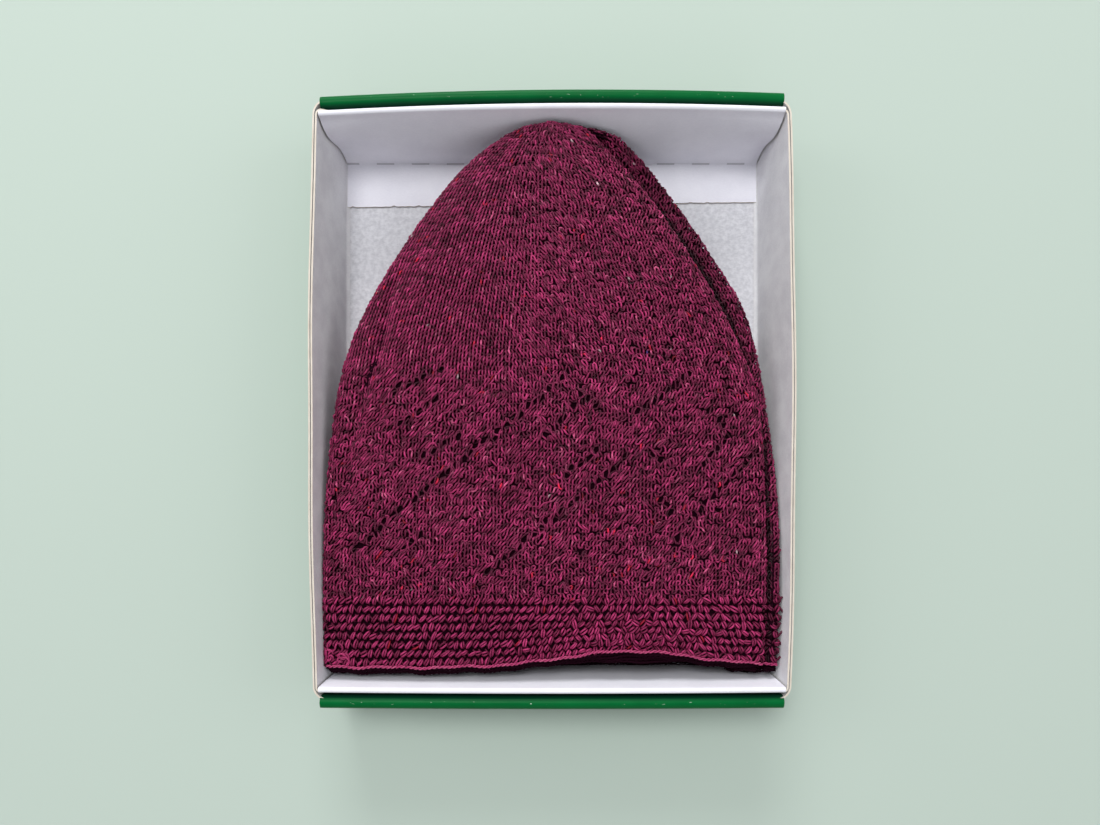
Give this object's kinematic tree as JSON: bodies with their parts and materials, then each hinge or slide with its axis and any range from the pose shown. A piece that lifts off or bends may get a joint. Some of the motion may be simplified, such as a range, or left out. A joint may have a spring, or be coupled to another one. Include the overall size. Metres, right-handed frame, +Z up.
{
  "type": "knitted prayer cap in an open card tray and lid",
  "caption": "Knitted prayer cap with a lacy crown and a ribbed band, laid flat in an open card tray that stands in its upturned lid.",
  "frame": {"origin": "middle of the lid's underside, which rests on the table", "axes": "+X across the cap, +Y from the cap's mouth to its tip along the box, +Z up"},
  "size_m": [0.2196, 0.2754, 0.042],
  "materials": {
    "crown_knit": "fine burgundy lace knit",
    "band_knit": "burgundy bumpy rib knit",
    "white_card": "uncoated white and grey card",
    "green_card": "glossy green coated card"
  },
  "bodies": {
    "root": {"crown": "crown_knit", "band": "band_knit", "tray": "white_card", "lid": "green_card"}
  },
  "joints": []
}
